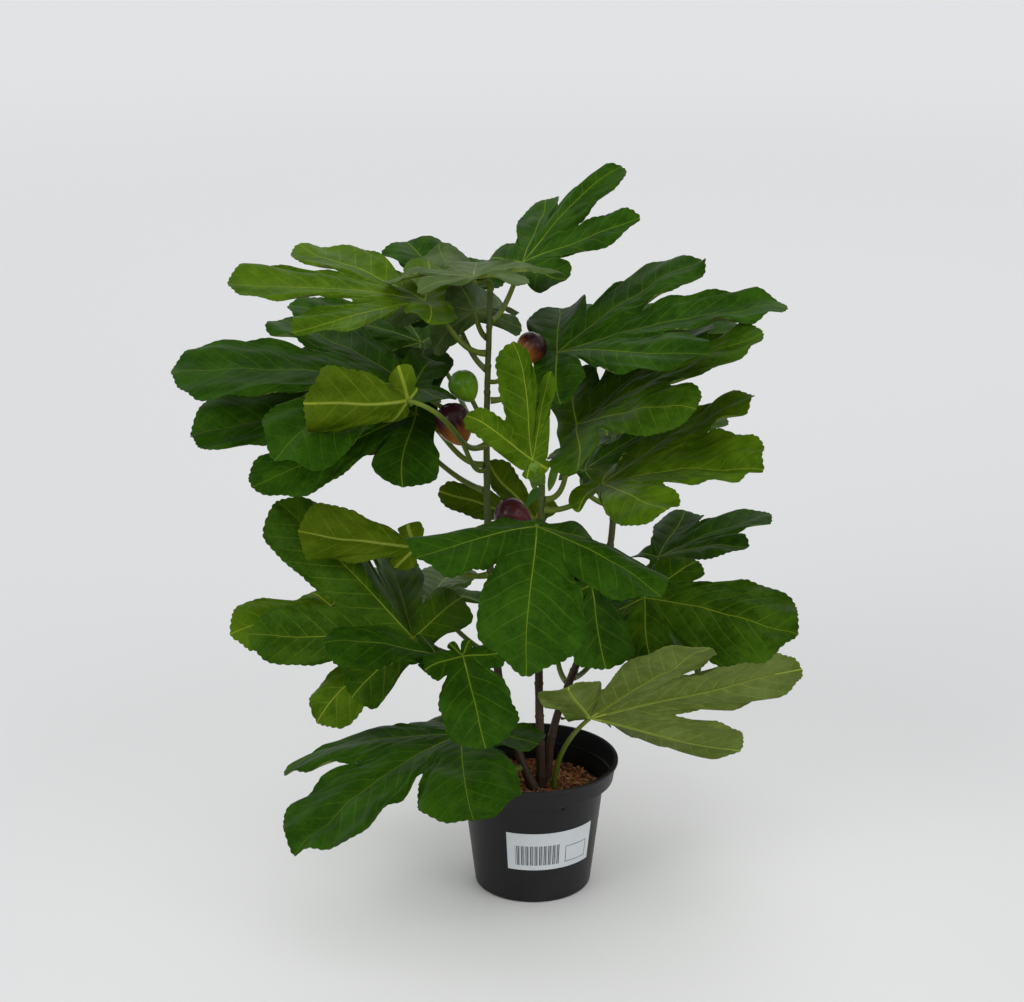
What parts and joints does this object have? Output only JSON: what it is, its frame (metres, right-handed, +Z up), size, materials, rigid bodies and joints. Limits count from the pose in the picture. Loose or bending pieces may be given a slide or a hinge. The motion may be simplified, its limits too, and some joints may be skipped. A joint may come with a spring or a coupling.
{
  "type": "artificial fig tree in a nursery pot",
  "caption": "Artificial fig tree with large lobed leaves and a few figs on slim stems, standing in a filled black plastic nursery pot.",
  "frame": {"origin": "middle of the pot's flat underside", "axes": "+Z up along the pot's axis; the picture looks along +Y, with +X to its right"},
  "size_m": [0.5796, 0.4793, 0.6596],
  "materials": {
    "pot": "smooth black, half matt",
    "filling": "loose red-brown chips on top of a cast filling",
    "sticker": "plain white paper",
    "stem": "brown at the foot to green at the tips, ringed at the nodes",
    "leaf_deep": "deep green with a soft sheen and pale veins",
    "leaf_light": "yellow-green with a soft sheen and pale veins",
    "fig_purple": "glossy dark purple",
    "fig_green": "glossy green",
    "fig_red": "glossy dark red"
  },
  "bodies": {
    "root": {"back_stem": "stem", "fig_behind_young": "fig_purple", "fig_dark_front": "fig_purple", "fig_green": "fig_green", "fig_purple_left": "fig_purple", "fig_red": "fig_red", "front_stem": "stem", "label": "sticker", "leaf_back_left_low": "leaf_deep", "leaf_back_left_mid": "leaf_deep", "leaf_back_low": "leaf_deep", "leaf_back_right_high": "leaf_deep", "leaf_back_right_low": "leaf_deep", "leaf_back_right_mid": "leaf_deep", "leaf_behind_top": "leaf_deep", "leaf_flat": "leaf_deep", "leaf_front": "leaf_deep", "leaf_left_drop": "leaf_deep", "leaf_left_far": "leaf_deep", "leaf_left_fold": "leaf_deep", "leaf_left_foot": "leaf_deep", "leaf_left_high": "leaf_deep", "leaf_left_high_back": "leaf_deep", "leaf_left_light": "leaf_light", "leaf_left_low": "leaf_deep", "leaf_left_low_back": "leaf_deep", "leaf_left_mid": "leaf_deep", "leaf_left_mid_back": "leaf_deep", "leaf_left_under": "leaf_light", "leaf_olive": "leaf_light", "leaf_right_dark": "leaf_deep", "leaf_right_drop": "leaf_deep", "leaf_right_foot": "leaf_light", "leaf_right_hang": "leaf_deep", "leaf_right_high": "leaf_deep", "leaf_right_low": "leaf_deep", "leaf_right_low_back": "leaf_deep", "leaf_right_second": "leaf_deep", "leaf_right_third": "leaf_light", "leaf_round_low": "leaf_deep", "leaf_top": "leaf_deep", "leaf_young": "leaf_light", "left_bough": "stem", "pot": "pot", "soil": "filling", "tall_stem": "stem"}
  },
  "joints": []
}
